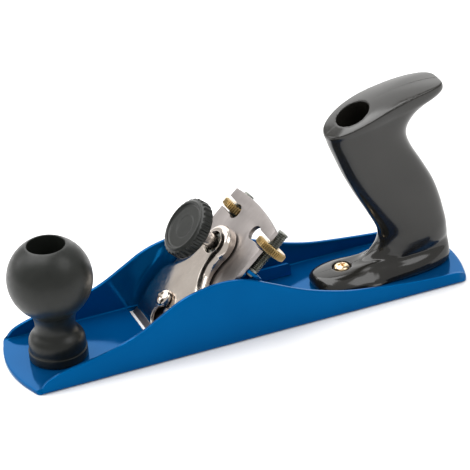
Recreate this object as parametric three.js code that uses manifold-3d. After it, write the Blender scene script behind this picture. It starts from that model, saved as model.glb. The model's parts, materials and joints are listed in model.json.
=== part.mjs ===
// Pressed-steel hand plane: a blue channel body with its frog, cutter, lever cap and adjusters,
// a ball knob at the toe and a hooked handle at the heel.
// Millimetres, +Z up. The toe points to -X, the heel to +X, and the sole rests on z = 0.
import * as THREE from 'three';
import { mergeVertices } from 'three/addons/utils/BufferGeometryUtils.js';
import Module from 'manifold-3d';

const wasm = await Module();
wasm.setup();

// ---- driving dimensions ----
const TOE_X = -116.2;
const HEEL_X = 117.5;
const BODY_WIDTH = 56.4;
const TOE_SAGITTA = 5;
const HEEL_SAGITTA = 4;
const TOE_CORNER = 7;
const HEEL_CORNER = 9;
const FLOOR = 2.3;
const WALL = 2;
const OUTER_BEND = 1.6;
const INNER_BEND = 0.8;
const GAP = 0.3;
const DECK = FLOOR + GAP;

const BED_ANGLE = THREE.MathUtils.degToRad(41.8);
const EDGE_X = -44.6;
const CUTTER_WIDTH = 50;
const CUTTER_THICKNESS = 2.2;
const CUTTER_START = 0.25;
const CUTTER_CORNER = 80.3;
const CUTTER_CROWN = 2.2;
const NOTCH_AT = 72.2;
const NOTCH_HALF = 3.2;
const NOTCH_ROUND = 3.9;
const NOTCH_INNER = 8.6;
const MOUTH_FRONT = -46.7;
const MOUTH_REAR = -37.6;
const MOUTH_HALF = 25.7;

const STUD_OFFSET = 22;
const STUD_DEPTH = -6.6;
const STUD_RADIUS = 2.9;
const STUD_START = 55.5;
const STUD_END = 81.8;
const NUT_AT = 71.9;
const NUT_RADIUS = 8.2;
const NUT_THICKNESS = 4.1;

const FROG_SHEET = 1.5;
const FROG_HALF = 18.4;
const FROG_EAR_HALF = 24;
const FROG_START = 8.6;
const FROG_END = 58;
const FROG_TAIL_X = 37;
const FROG_TAIL_HEIGHT = 9;
const FROG_FEET_END = 19;
const FROG_TAB_DEPTH = 8.6;
const FROG_TAB_HALF = 25.9;

const CAP_SHEET = 1.8;
const CAP_START = 3.8;
const EYE_AT = 55;
const EYE_TOP = 7.2;
const EYE_TILT = THREE.MathUtils.degToRad(5.5);
const EYE_RADIUS = 10.3;
const EYE_HOLE = 5.8;
const SHANK_RADIUS = 4;
const SHANK_START = 1;
const CAP_SCREW_AT = 18.9;
const KEYHOLE_AT = 9.4;
const THUMB_FACE = 26.4;
const THUMB_RADIUS = 15;
const THUMB_THICKNESS = 7;

const KNOB_X = -90.9;
const KNOB_BALL = 20.7;
const KNOB_WAIST = 9.8;
const KNOB_NECK = 12.8;
const KNOB_CENTRE = 45;
const KNOB_FOOT = 14.3;
const KNOB_RECESS = 9.2;
const KNOB_SEAT = 30;

const HANDLE_LEAN = THREE.MathUtils.degToRad(20);
const HANDLE_HOLE = { x: 68.7, z: 91.1, radius: 8.8, depth: 34 };
const FOOT_SCREW = { x: 57.6, seat: 8.3 };

// ---- materials ----
const metal = (color, roughness) => new THREE.MeshStandardMaterial({ color, roughness, metalness: 1 });
const plain = (color, roughness) => new THREE.MeshStandardMaterial({ color, roughness, metalness: 0 });
const paint = plain(0x00509a, 0.35);
const satinPlastic = plain(0x2c2c2a, 0.5);
const glossPlastic = plain(0x1e1d1c, 0.2);
const groundSteel = metal(0x9a908c, 0.42);
const chrome = metal(0xd8d4cc, 0.12);
const darkZinc = metal(0x4a4c46, 0.4);
const brass = metal(0xc9973f, 0.35);
const zinc = metal(0xb4b6b8, 0.3);

// ---- booleans and placing ----
const EXTRUDE = { bevelEnabled: false, curveSegments: 24 };
const ALONG_X = new THREE.Matrix4().makeBasis(
  new THREE.Vector3(0, 1, 0), new THREE.Vector3(0, 0, 1), new THREE.Vector3(1, 0, 0));
const ALONG_Y = new THREE.Matrix4().makeBasis(
  new THREE.Vector3(1, 0, 0), new THREE.Vector3(0, 0, 1), new THREE.Vector3(0, -1, 0));
const UPRIGHT = new THREE.Matrix4().makeRotationX(Math.PI / 2);

function solidOf(geometry) {
  const bare = geometry.clone();
  bare.deleteAttribute('normal');
  bare.deleteAttribute('uv');
  const merged = mergeVertices(bare, 1e-4);
  const vertProperties = new Float32Array(merged.attributes.position.array);
  const triVerts = new Uint32Array(merged.index.array);
  return new wasm.Manifold(new wasm.Mesh({ numProp: 3, vertProperties, triVerts }));
}

function joined(first, ...others) {
  return others.reduce((sum, other) => sum.add(other), first);
}

function cut(solid, ...tools) {
  return tools.reduce((rest, tool) => rest.subtract(tool), solid);
}

// A prism from an outline in x and y, between two heights.
function slab(shape, low, high) {
  return solidOf(new THREE.ExtrudeGeometry(shape, { ...EXTRUDE, depth: high - low }).translate(0, 0, low));
}

// A prism from an outline in y and z, between two x values.
function prismAlongX(shape, low, high) {
  const geometry = new THREE.ExtrudeGeometry(shape, { ...EXTRUDE, depth: high - low });
  return solidOf(geometry.applyMatrix4(ALONG_X).translate(low, 0, 0));
}

// A prism from an outline in x and z, between two y values.
function prismAlongY(shape, low, high) {
  const geometry = new THREE.ExtrudeGeometry(shape, { ...EXTRUDE, depth: high - low });
  return solidOf(geometry.applyMatrix4(ALONG_Y).translate(0, high, 0));
}

function block(low, high) {
  const size = high.map((value, axis) => value - low[axis]);
  const centre = high.map((value, axis) => (value + low[axis]) / 2);
  return solidOf(new THREE.BoxGeometry(...size).translate(...centre));
}

// A turned solid about a vertical axis, from points of radius and height.
function turned(points, segments = 48) {
  const profile = points.map(([radius, height]) => new THREE.Vector2(radius, height));
  return solidOf(new THREE.LatheGeometry(profile, segments).applyMatrix4(UPRIGHT));
}

function rod(x, y, radius, low, high, segments = 24) {
  return turned([[0, low], [radius, low], [radius, high], [0, high]], segments).translate([x, y, 0]);
}

function hexPrism(acrossFlats, low, high) {
  const corner = acrossFlats / Math.sqrt(3);
  return solidOf(new THREE.CylinderGeometry(corner, corner, high - low, 6)
    .applyMatrix4(UPRIGHT).translate(0, 0, (low + high) / 2));
}

function polygon(points) {
  return new THREE.Shape(points.map(([x, y]) => new THREE.Vector2(x, y)));
}

function piece(name, solid, material, x = 0, y = 0, z = 0) {
  const { vertProperties, triVerts } = solid.getMesh();
  const geometry = new THREE.BufferGeometry();
  geometry.setAttribute('position', new THREE.BufferAttribute(vertProperties, 3));
  geometry.setIndex(new THREE.BufferAttribute(triVerts, 1));
  geometry.computeVertexNormals();
  const mesh = new THREE.Mesh(geometry, material);
  mesh.name = name;
  mesh.position.set(x, y, z);
  return mesh;
}

// A point of the row frame, from its distance up the bed and its height off the cutter's top face.
function bedPoint(along, above) {
  return [
    EDGE_X + along * Math.cos(BED_ANGLE) - above * Math.sin(BED_ANGLE),
    along * Math.sin(BED_ANGLE) + above * Math.cos(BED_ANGLE),
  ];
}

// A cross-shaped driver recess, cut down from a head's top.
function crossRecess(top, reach, depth) {
  const blade = 0.62;
  return joined(
    block([-reach, -blade, top - depth], [reach, blade, top + 1]),
    block([-blade, -reach, top - depth], [blade, reach, top + 1]));
}

// ---- body: a U-shaped channel with arched side walls ----
const CREST = [
  [-109.2, 2.3], [-107.4, 4.6], [-105.6, 6.2], [-102, 7.9], [-95.5, 9.8], [-84, 11.8], [-66, 16],
  [-56, 19.9], [-46, 25.4],
  [-33, 31.9], [-16, 34.8], [-1.5, 32.8], [12.6, 26.2], [28.9, 18.6], [48, 12.6], [66, 9.7], [90, 7.2],
  [107, 6.2], [111.6, 4.8], [114.2, 2.4],
];

function channelSection() {
  const half = BODY_WIDTH / 2;
  const inner = half - WALL;
  const top = 36;
  const shape = new THREE.Shape();
  shape.moveTo(-half, top);
  shape.lineTo(-half, OUTER_BEND);
  shape.absarc(-half + OUTER_BEND, OUTER_BEND, OUTER_BEND, Math.PI, 1.5 * Math.PI, false);
  shape.absarc(half - OUTER_BEND, OUTER_BEND, OUTER_BEND, 1.5 * Math.PI, 2 * Math.PI, false);
  shape.lineTo(half, top);
  shape.lineTo(inner, top);
  shape.absarc(inner - INNER_BEND, FLOOR + INNER_BEND, INNER_BEND, 0, -Math.PI / 2, true);
  shape.absarc(-inner + INNER_BEND, FLOOR + INNER_BEND, INNER_BEND, -Math.PI / 2, -Math.PI, true);
  shape.lineTo(-inner, top);
  return shape;
}

function wallProfile() {
  const crest = new THREE.SplineCurve(CREST.map(([x, z]) => new THREE.Vector2(x, z)));
  const shape = new THREE.Shape();
  shape.moveTo(HEEL_X + 1, 0);
  shape.lineTo(HEEL_X + 1, FLOOR);
  for (const point of crest.getPoints(44).reverse()) {
    shape.lineTo(point.x, point.y);
  }
  shape.lineTo(TOE_X - 1, FLOOR);
  shape.lineTo(TOE_X - 1, 0);
  return shape;
}

const BODY_ENDS = [
  { end: HEEL_X, side: 1, sagitta: HEEL_SAGITTA, radius: HEEL_CORNER },
  { end: TOE_X, side: -1, sagitta: TOE_SAGITTA, radius: TOE_CORNER },
];

function soleOutline() {
  const half = BODY_WIDTH / 2;
  const shape = new THREE.Shape();
  shape.moveTo(0, -half);
  for (const { end, side, sagitta, radius } of BODY_ENDS) {
    const inset = half - radius * 0.75;
    const square = end - side * sagitta;
    const shoulder = square - side * radius * 0.55;
    const corner = square + side * 0.7;
    const bulge = 2 * end - corner;
    shape.lineTo(shoulder, -side * half);
    shape.quadraticCurveTo(square, -side * half, corner, -side * inset);
    shape.quadraticCurveTo(bulge, 0, corner, side * inset);
    shape.quadraticCurveTo(square, side * half, shoulder, side * half);
  }
  return shape;
}

// A flush hole for a countersunk or riveted head.
function countersink(x, y, head, shank) {
  return turned([[0, -1], [head + 1, -1], [head, 0], [shank, head - shank], [shank, FLOOR + 1], [0, FLOOR + 1]])
    .translate([x, y, 0]);
}

const FROG_RIVETS = [[-8, -13], [12, -13], [-8, 13], [12, 13]];
const HANDLE_BOLT_X = 100.4;
const BOLT = { head: 5.4, shank: 2.9 };
const RIVET = { head: 3.2, shank: 1.7 };

function planeBody() {
  const blank = prismAlongX(channelSection(), TOE_X - 1, HEEL_X + 1)
    .intersect(prismAlongY(wallProfile(), -BODY_WIDTH, BODY_WIDTH))
    .intersect(slab(soleOutline(), -1, 40));
  const mouth = block([MOUTH_FRONT, -MOUTH_HALF, -1], [MOUTH_REAR, MOUTH_HALF, FLOOR + 0.01]);
  const boltHoles = [KNOB_X, HANDLE_BOLT_X].map((x) => countersink(x, 0, BOLT.head + GAP, BOLT.shank + GAP));
  const rivetHoles = FROG_RIVETS.map(([x, y]) => countersink(x, y, RIVET.head + GAP, RIVET.shank + GAP));
  const footHole = rod(FOOT_SCREW.x, 0, 2.2, -1, FLOOR + 1);
  return piece('plane_body', cut(blank, mouth, ...boltHoles, ...rivetHoles, footHole), paint);
}

// ---- frog: a folded bracket that carries the bed ----
function frogCheekOutline() {
  const toe = bedPoint(FROG_START, -CUTTER_THICKNESS - GAP);
  const head = bedPoint(FROG_END, -CUTTER_THICKNESS - GAP);
  const heel = bedPoint(FROG_END, -CUTTER_THICKNESS - GAP - 7);
  const shape = new THREE.Shape();
  shape.moveTo(toe[0] + 3, DECK);
  shape.lineTo(toe[0], Math.max(toe[1], DECK));
  shape.lineTo(head[0], head[1]);
  shape.lineTo(heel[0], heel[1]);
  shape.quadraticCurveTo(heel[0] + 2, FROG_TAIL_HEIGHT, heel[0] + 16, FROG_TAIL_HEIGHT);
  shape.lineTo(FROG_TAIL_X - 2, FROG_TAIL_HEIGHT);
  shape.absarc(FROG_TAIL_X - 2, FROG_TAIL_HEIGHT - 2, 2, Math.PI / 2, 0, true);
  shape.lineTo(FROG_TAIL_X, DECK);
  return shape;
}

function frogHollowOutline() {
  const under = -CUTTER_THICKNESS - GAP - FROG_SHEET;
  return polygon([bedPoint(-2, under), bedPoint(90, under), [90, 60], [90, -20], [-60, -20]]);
}

// The bed plate's outline, in distance along the bed and across it, with ears for the studs.
function bedOutline() {
  const shape = new THREE.Shape();
  shape.moveTo(FROG_START, -FROG_HALF);
  shape.lineTo(30, -FROG_HALF);
  shape.lineTo(35, -FROG_EAR_HALF);
  shape.absarc(FROG_END - 4, -FROG_EAR_HALF + 4, 4, -Math.PI / 2, 0, false);
  shape.absarc(FROG_END - 4, FROG_EAR_HALF - 4, 4, 0, Math.PI / 2, false);
  shape.lineTo(35, FROG_EAR_HALF);
  shape.lineTo(30, FROG_HALF);
  shape.lineTo(FROG_START, FROG_HALF);
  return shape;
}

function onBed(solid) {
  return solid.rotate([0, -THREE.MathUtils.radToDeg(BED_ANGLE), 0]).translate([EDGE_X, 0, 0]);
}

function frog() {
  const top = -CUTTER_THICKNESS - GAP;
  const inner = FROG_HALF - FROG_SHEET;
  const shell = prismAlongY(frogCheekOutline(), -FROG_HALF, FROG_HALF)
    .subtract(prismAlongY(frogHollowOutline(), -inner, inner));
  const bed = onBed(slab(bedOutline(), top - FROG_SHEET, top))
    .intersect(block([-60, -30, DECK], [60, 30, 60]));
  const feet = [-1, 1].map((side) => {
    const [low, high] = [side * (inner + 0.2), side * 8.6].sort((a, b) => a - b);
    return block([-14, low, DECK], [FROG_FEET_END, high, DECK + FROG_SHEET]);
  });
  const tabs = [-1, 1].map((side) => {
    const [low, high] = [side * (inner + 0.2), side * FROG_TAB_HALF].sort((a, b) => a - b);
    return onBed(block([FROG_END - FROG_SHEET, low, top - FROG_TAB_DEPTH], [FROG_END, high, top - 0.1]));
  });
  const studHoles = [-1, 1].map((side) => {
    const hole = alongBed(rod(0, 0, STUD_RADIUS + GAP, STUD_START - GAP, FROG_END + 5));
    return onBed(hole.translate([0, side * STUD_OFFSET, STUD_DEPTH]));
  });
  const rivetHoles = FROG_RIVETS.map(([x, y]) => rod(x, y, RIVET.shank + GAP, 0, 8));
  const screwHole = onBed(rod(CAP_SCREW_AT, 0, 2.9, top - 6, top + 1));
  const folded = joined(shell, bed, ...feet, ...tabs);
  return piece('frog', cut(folded, ...rivetHoles, ...studHoles, screwHole), paint);
}

function frogRivet(index) {
  const [x, y] = FROG_RIVETS[index];
  const dome = DECK + FROG_SHEET + GAP;
  const { head, shank } = RIVET;
  const solid = turned([
    [0, 0.05], [head, 0.05], [shank, head - shank + 0.05], [shank, dome], [3, dome],
    [2.6, dome + 0.9], [1.5, dome + 1.5], [0, dome + 1.7],
  ], 16);
  return piece(`frog_rivet_${index + 1}`, solid, paint, x, y, 0);
}

// ---- cutter and its adjusters, built in the bed's frame: x up the bed, z off the cutter's face ----
function cutterOutline() {
  const half = CUTTER_WIDTH / 2;
  const centre = NOTCH_INNER + NOTCH_ROUND;
  const open = Math.acos(NOTCH_HALF / NOTCH_ROUND);
  const low = NOTCH_AT - NOTCH_HALF;
  const high = NOTCH_AT + NOTCH_HALF;
  const shape = new THREE.Shape();
  shape.moveTo(CUTTER_START, -half);
  shape.lineTo(low, -half);
  shape.absarc(NOTCH_AT, -centre, NOTCH_ROUND, Math.PI + open, -open, true);
  shape.lineTo(high, -half);
  shape.lineTo(CUTTER_CORNER, -half);
  shape.quadraticCurveTo(CUTTER_CORNER + 2 * CUTTER_CROWN, 0, CUTTER_CORNER, half);
  shape.lineTo(high, half);
  shape.absarc(NOTCH_AT, centre, NOTCH_ROUND, open, Math.PI - open, true);
  shape.lineTo(low, half);
  shape.lineTo(CUTTER_START, half);
  return shape;
}

function cutter() {
  const slotHalf = 4.2;
  const slot = joined(
    block([16, -slotHalf, -5], [32, slotHalf, 5]),
    rod(16, 0, slotHalf, -5, 5),
    rod(32, 0, slotHalf, -5, 5));
  const bevelLength = 4.6;
  const bevel = prismAlongY(polygon([
    [CUTTER_START - 1, -0.05], [CUTTER_START, -0.05], [CUTTER_START + bevelLength, -CUTTER_THICKNESS],
    [CUTTER_START + bevelLength, -CUTTER_THICKNESS - 1], [CUTTER_START - 1, -CUTTER_THICKNESS - 1],
  ]), -40, 40);
  return piece('cutter', cut(slab(cutterOutline(), -CUTTER_THICKNESS, 0), slot, bevel), groundSteel);
}

// A turned disc laid with its axis along the bed, at one stud.
function alongBed(solid) {
  return solid.rotate([0, 90, 0]);
}

function adjusterStud(name, side) {
  const chamfer = 0.6;
  const profile = [
    [0, STUD_START], [STUD_RADIUS, STUD_START], [STUD_RADIUS, STUD_END - chamfer],
    [STUD_RADIUS - chamfer, STUD_END], [0, STUD_END],
  ];
  return piece(name, alongBed(turned(profile, 32)), darkZinc, 0, side * STUD_OFFSET, STUD_DEPTH);
}

function ribbedOutline(radius, depth, ribs) {
  const points = [];
  for (let step = 0; step < ribs * 4; step += 1) {
    const angle = (step / (ribs * 4)) * 2 * Math.PI;
    const reach = step % 4 < 2 ? radius : radius - depth;
    points.push([reach * Math.cos(angle), reach * Math.sin(angle)]);
  }
  return polygon(points);
}

function adjusterNut(name, side) {
  const half = NUT_THICKNESS / 2;
  const rim = slab(ribbedOutline(NUT_RADIUS, 0.35, 30), -half, half);
  const bevels = turned([
    [0, -half], [NUT_RADIUS - 0.7, -half], [NUT_RADIUS + 0.2, -half + 0.7],
    [NUT_RADIUS + 0.2, half - 0.7], [NUT_RADIUS - 0.7, half], [0, half],
  ]);
  const nut = cut(rim.intersect(bevels), rod(0, 0, STUD_RADIUS + GAP, -half - 1, half + 1));
  return piece(name, alongBed(nut), brass, NUT_AT, side * STUD_OFFSET, STUD_DEPTH);
}

// ---- lever cap and its screws, in the bed's frame ----
// The cap's outline in distance up the bed and across it, drawn in by an inset from its edges.
function capOutline(inset) {
  const wide = 23.8 - inset;
  const neck = 9.7 - inset;
  const start = CAP_START + inset;
  const lobe = EYE_RADIUS - inset;
  const meet = Math.asin(neck / lobe);
  const half = (side) => [
    new THREE.Vector2(start, side * (wide - 1)),
    new THREE.Vector2(start + 1.6, side * wide),
  ];
  const shape = new THREE.Shape();
  const [lowCorner, highCorner] = half(-1);
  shape.moveTo(lowCorner.x, lowCorner.y);
  shape.lineTo(highCorner.x, highCorner.y);
  shape.lineTo(22, -wide);
  shape.bezierCurveTo(35 - inset / 2, -wide, 36.5 - inset, -neck, 47, -neck);
  shape.absarc(EYE_AT, 0, lobe, -Math.PI + meet, Math.PI - meet, false);
  shape.lineTo(47, neck);
  shape.bezierCurveTo(36.5 - inset, neck, 35 - inset / 2, wide, 22, wide);
  shape.lineTo(highCorner.x, wide);
  shape.lineTo(lowCorner.x, wide - 1);
  return shape;
}

// The solid under the cap's arched top face, lowered by an inset. Its top end rises to the eye.
function underArch(inset) {
  const start = CAP_START - 2;
  const end = EYE_AT + EYE_RADIUS + 2;
  const slope = Math.tan(EYE_TILT);
  const eyeLine = (along) => EYE_TOP + (along - EYE_AT) * slope - inset;
  const shape = new THREE.Shape();
  shape.moveTo(start, -2);
  shape.lineTo(end, -2);
  shape.lineTo(end, eyeLine(end));
  shape.lineTo(48, eyeLine(48));
  shape.bezierCurveTo(38, eyeLine(38), 32, 6.6 - inset, 26, 6.4 - inset);
  shape.bezierCurveTo(18, 6.1 - inset, 10, 5.2 - inset, start, 0.6 - inset);
  return prismAlongY(shape, -40, 40);
}

// Shapes about the thumb screw's axis: local z is 0 where it passes the cap's top face.
function onEye(solid) {
  return solid.rotate([0, -THREE.MathUtils.radToDeg(EYE_TILT), 0]).translate([EYE_AT, 0, EYE_TOP]);
}

function leverCap() {
  const shell = slab(capOutline(0), GAP, 12).intersect(underArch(0));
  const hollow = slab(capOutline(CAP_SHEET), -1, 12).intersect(underArch(CAP_SHEET));
  const relief = block([9, -30, -1], [80, 30, 0.9]);
  const keyhole = joined(
    rod(KEYHOLE_AT, 0, 5.2, -1, 12),
    rod(CAP_SCREW_AT, 0, 2.9, -1, 12),
    block([KEYHOLE_AT, -2.9, -1], [CAP_SCREW_AT, 2.9, 12]));
  const eye = onEye(rod(0, 0, EYE_HOLE, -EYE_TOP, 6));
  return piece('lever_cap', cut(shell, hollow, relief, keyhole, eye), chrome);
}

function capNut() {
  const top = -CAP_SHEET - GAP;
  const solid = cut(hexPrism(13, top - 3, top), rod(0, 0, 3.3, top - 4, top + 1));
  return piece('thumb_screw_nut', onEye(solid), zinc);
}

function capScrew() {
  const seat = 6.6;
  const crown = seat + 3.8;
  const radius = 4.6;
  const head = [[2.4, seat], [radius, seat], [radius, seat + 1.5], [radius - 0.5, seat + 2.5],
    [radius - 1.6, seat + 3.3], [0, crown]];
  const solid = turned([[0, -10.5], [2.4, -10.5], ...head], 32);
  return piece('lever_cap_screw', cut(solid, crossRecess(crown, 2.3, 1.8)), chrome, CAP_SCREW_AT, 0, 0);
}

function capScrewNut() {
  const top = -CUTTER_THICKNESS - GAP - FROG_SHEET - GAP;
  const solid = cut(hexPrism(8, top - 4, top), rod(0, 0, 2.7, top - 5, top + 1));
  return piece('lever_cap_screw_nut', solid, zinc, CAP_SCREW_AT, 0, 0);
}

const THUMB_BACK = THUMB_FACE - EYE_TOP - THUMB_THICKNESS;

function thumbShank() {
  const tip = -EYE_TOP / Math.cos(EYE_TILT) + 0.6;
  const neck = SHANK_START;
  const solid = turned([
    [0, tip], [2.4, tip], [3, tip + 0.6], [3, neck], [SHANK_RADIUS - 0.4, neck], [SHANK_RADIUS, neck + 0.4],
    [SHANK_RADIUS, THUMB_BACK - GAP],
    [3, THUMB_BACK - GAP], [3, THUMB_BACK + 3.4], [0, THUMB_BACK + 3.4],
  ], 32);
  return piece('thumb_screw_shank', onEye(solid), chrome);
}

function thumbKnob() {
  const back = THUMB_BACK;
  const face = THUMB_BACK + THUMB_THICKNESS;
  const rim = slab(ribbedOutline(THUMB_RADIUS, 0.7, 30), back, face);
  const bevels = turned([
    [0, back], [THUMB_RADIUS - 2, back], [THUMB_RADIUS + 0.1, back + 1.8], [THUMB_RADIUS + 0.1, face - 2],
    [THUMB_RADIUS - 0.9, face - 0.5], [THUMB_RADIUS - 1.7, face], [THUMB_RADIUS - 3, face],
    [THUMB_RADIUS - 4, face - 0.9], [0, face - 0.9],
  ], 60);
  const socket = rod(0, 0, 3 + GAP, back - 1, back + 3.4 + GAP);
  return piece('thumb_knob', onEye(cut(rim.intersect(bevels), socket)), satinPlastic);
}

// ---- front knob and its bolt ----
function frontKnob() {
  const waist = new THREE.CubicBezierCurve(
    new THREE.Vector2(KNOB_FOOT - 0.4, 7.4), new THREE.Vector2(15, 17.2),
    new THREE.Vector2(KNOB_WAIST, 14.2), new THREE.Vector2(KNOB_WAIST, 20.5));
  const neck = new THREE.QuadraticBezierCurve(
    new THREE.Vector2(KNOB_WAIST, 20.5), new THREE.Vector2(KNOB_WAIST, 25), new THREE.Vector2(KNOB_NECK, 28.75));
  const curves = [...waist.getPoints(8), ...neck.getPoints(3).slice(1)].map((point) => [point.x, point.y]);
  const start = Math.asin(KNOB_NECK / KNOB_BALL);
  const finish = Math.PI - Math.asin((KNOB_RECESS + 0.5) / KNOB_BALL);
  const ball = [];
  for (let step = 1; step <= 11; step += 1) {
    const angle = start + ((finish - start) * step) / 11;
    ball.push([KNOB_BALL * Math.sin(angle), KNOB_CENTRE - KNOB_BALL * Math.cos(angle)]);
  }
  const rim = ball[ball.length - 1][1];
  const bore = BOLT.shank + GAP;
  const solid = turned([
    [bore, DECK], [KNOB_FOOT, DECK], [KNOB_FOOT, 7], ...curves, ...ball,
    [KNOB_RECESS, rim - 0.3], [KNOB_RECESS - 0.5, KNOB_SEAT], [bore, KNOB_SEAT], [bore, DECK],
  ], 40);
  return piece('front_knob', solid, satinPlastic, KNOB_X, 0, 0);
}

function knobBolt() {
  const { head, shank } = BOLT;
  const solid = turned([[0, 0.05], [head, 0.05], [shank, head - shank + 0.05], [shank, 39], [0, 39]], 32);
  return piece('knob_bolt', solid, zinc, KNOB_X, 0, 0);
}

function washerAt(name, seat, x) {
  const solid = cut(rod(0, 0, 7.6, seat + GAP, seat + GAP + 1.4), rod(0, 0, BOLT.shank + GAP, 0, 99));
  return piece(name, solid, zinc, x, 0, 0);
}

function nutAt(name, seat, x) {
  const low = seat + 2 * GAP + 1.4;
  const solid = cut(hexPrism(10, low, low + 5), rod(0, 0, BOLT.shank + GAP, 0, 99));
  return piece(name, solid, zinc, x, 0, 0);
}

// ---- rear handle: a loft of closed rings from its foot up to the hooked top ----
// front and rear are the ring's ends in x and z; half is its half width; square and stern set how full its
// front and rear corners are; taper widens it towards the heel; bow lifts its middle.
const HANDLE_RINGS = [
  { front: [42.2, DECK], rear: [114.3, DECK], half: 15.6, square: 2.6, stern: 2.6, taper: -0.04, bow: 0 },
  { front: [41.8, 4.6], rear: [114.7, 6], half: 15.8, square: 2.6, stern: 2.6, taper: -0.04, bow: 0 },
  { front: [42.6, 6.9], rear: [114.6, 9.6], half: 13.6, square: 2.4, stern: 2.6, taper: 0.08, bow: 0.2 },
  { front: [44.6, 8.6], rear: [114.4, 12.4], half: 11.6, square: 2.3, stern: 2.6, taper: 0.15, bow: 0 },
  { front: [56, 10.1], rear: [114.2, 15], half: 10.4, square: 2, stern: 2.6, taper: 0.15, bow: 0 },
  { front: [66, 11.5], rear: [114, 17.8], half: 10.6, square: 2, stern: 2.6, taper: 0.13, bow: 0 },
  { front: [73.2, 14.2], rear: [113.7, 21], half: 11, square: 2.1, stern: 2.6, taper: 0.12, bow: 0 },
  { front: [77.5, 18.8], rear: [113.2, 25], half: 11.4, square: 2.2, stern: 2.7, taper: 0.08, bow: 0 },
  { front: [78, 25.4], rear: [112.4, 29.6], half: 11.4, square: 2.2, stern: 2.7, taper: 0.07, bow: 0 },
  { front: [72.8, 36.6], rear: [110.4, 39], half: 11.4, square: 2.2, stern: 2.8, taper: 0.06, bow: 0 },
  { front: [67, 47.8], rear: [107.2, 49], half: 11.4, square: 2.2, stern: 2.8, taper: 0.06, bow: 0 },
  { front: [61.8, 59.2], rear: [101.8, 60], half: 11.4, square: 2.2, stern: 2.8, taper: 0.06, bow: 0 },
  { front: [58.1, 69], rear: [96.6, 70], half: 11.6, square: 2.2, stern: 2.8, taper: 0.05, bow: 0 },
  { front: [55.8, 75.4], rear: [94.6, 77.2], half: 11.9, square: 2.2, stern: 2.8, taper: 0.03, bow: 0.2 },
  { front: [54.8, 78.6], rear: [96, 82.8], half: 12.3, square: 2.2, stern: 2.8, taper: 0, bow: 0.8 },
  { front: [54.3, 80.4], rear: [100.6, 88], half: 12.7, square: 2.2, stern: 2.9, taper: -0.06, bow: 1.6 },
  { front: [54, 81.4], rear: [106.6, 91.6], half: 13, square: 2.2, stern: 3.2, taper: -0.13, bow: 2.4 },
  { front: [53.7, 82.2], rear: [112, 94], half: 13.4, square: 2.2, stern: 3.6, taper: -0.18, bow: 3 },
  { front: [53.6, 82.8], rear: [114.8, 96.6], half: 13.8, square: 2.2, stern: 4, taper: -0.22, bow: 3.8 },
  { front: [53.7, 83.6], rear: [114.4, 99.6], half: 14.1, square: 2.2, stern: 4.2, taper: -0.24, bow: 4.2 },
];
const RING_STEPS = 40;
const TOP_CROWN = 1.7;

function ringPoint(ring, angle, scale, lift) {
  const cos = Math.cos(angle);
  const power = 2 / (cos < 0 ? ring.square : ring.stern);
  const sin = Math.sin(angle);
  const along = Math.sign(cos) * Math.abs(cos) ** power * scale;
  const across = Math.sign(sin) * Math.abs(sin) ** power * scale;
  const share = (along + 1) / 2;
  const x = THREE.MathUtils.lerp(ring.front[0], ring.rear[0], share);
  const z = THREE.MathUtils.lerp(ring.front[1], ring.rear[1], share);
  return [x, ring.half * across * (1 + ring.taper * along), z + 4 * ring.bow * share * (1 - share) + lift];
}

function loft(rings) {
  const positions = rings.flat(2);
  const index = [];
  const count = RING_STEPS;
  for (let level = 0; level + 1 < rings.length; level += 1) {
    for (let step = 0; step < count; step += 1) {
      const a = level * count + step;
      const b = level * count + ((step + 1) % count);
      index.push(a, b, b + count, a, b + count, a + count);
    }
  }
  const bottom = positions.length / 3;
  for (const ring of [rings[0], rings[rings.length - 1]]) {
    const middle = [0, 1, 2].map((axis) => ring.reduce((sum, point) => sum + point[axis], 0) / count);
    positions.push(...middle);
  }
  const last = (rings.length - 1) * count;
  for (let step = 0; step < count; step += 1) {
    const next = (step + 1) % count;
    index.push(next, step, bottom, last + step, last + next, bottom + 1);
  }
  const geometry = new THREE.BufferGeometry();
  geometry.setAttribute('position', new THREE.Float32BufferAttribute(positions, 3));
  geometry.setIndex(index);
  return solidOf(geometry);
}

function handleBlank() {
  const angles = Array.from({ length: RING_STEPS }, (_, step) => (2 * Math.PI * step) / RING_STEPS);
  const rings = HANDLE_RINGS.map((ring) => angles.map((angle) => ringPoint(ring, angle, 1, 0)));
  const top = HANDLE_RINGS[HANDLE_RINGS.length - 1];
  for (const scale of [0.985, 0.95, 0.8, 0.6, 0.4, 0.2]) {
    const lift = 0.35 + TOP_CROWN * (1 - scale * scale);
    rings.push(angles.map((angle) => ringPoint(top, angle, scale, lift)));
  }
  return loft(rings);
}

// Shapes about the handle's leaning bolt axis: local z runs up the axis from the mouth of its hole.
function onHandleAxis(solid) {
  return solid.rotate([0, -THREE.MathUtils.radToDeg(HANDLE_LEAN), 0])
    .translate([HANDLE_HOLE.x, 0, HANDLE_HOLE.z]);
}

function rearHandle() {
  const { radius, depth } = HANDLE_HOLE;
  const recess = onHandleAxis(rod(0, 0, radius, -depth, 20, 48));
  const bore = onHandleAxis(rod(0, 0, 3.6, -88, 0));
  const boltPocket = rod(HANDLE_BOLT_X - 0.6, 0, 4.6, 0, 13);
  const screwRecess = rod(FOOT_SCREW.x, 0, 4.8, FOOT_SCREW.seat, 30);
  const screwBore = rod(FOOT_SCREW.x, 0, 2.2, 0, 30);
  const solid = cut(handleBlank(), recess, bore, boltPocket, screwRecess, screwBore);
  return piece('rear_handle', solid, glossPlastic);
}

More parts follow.
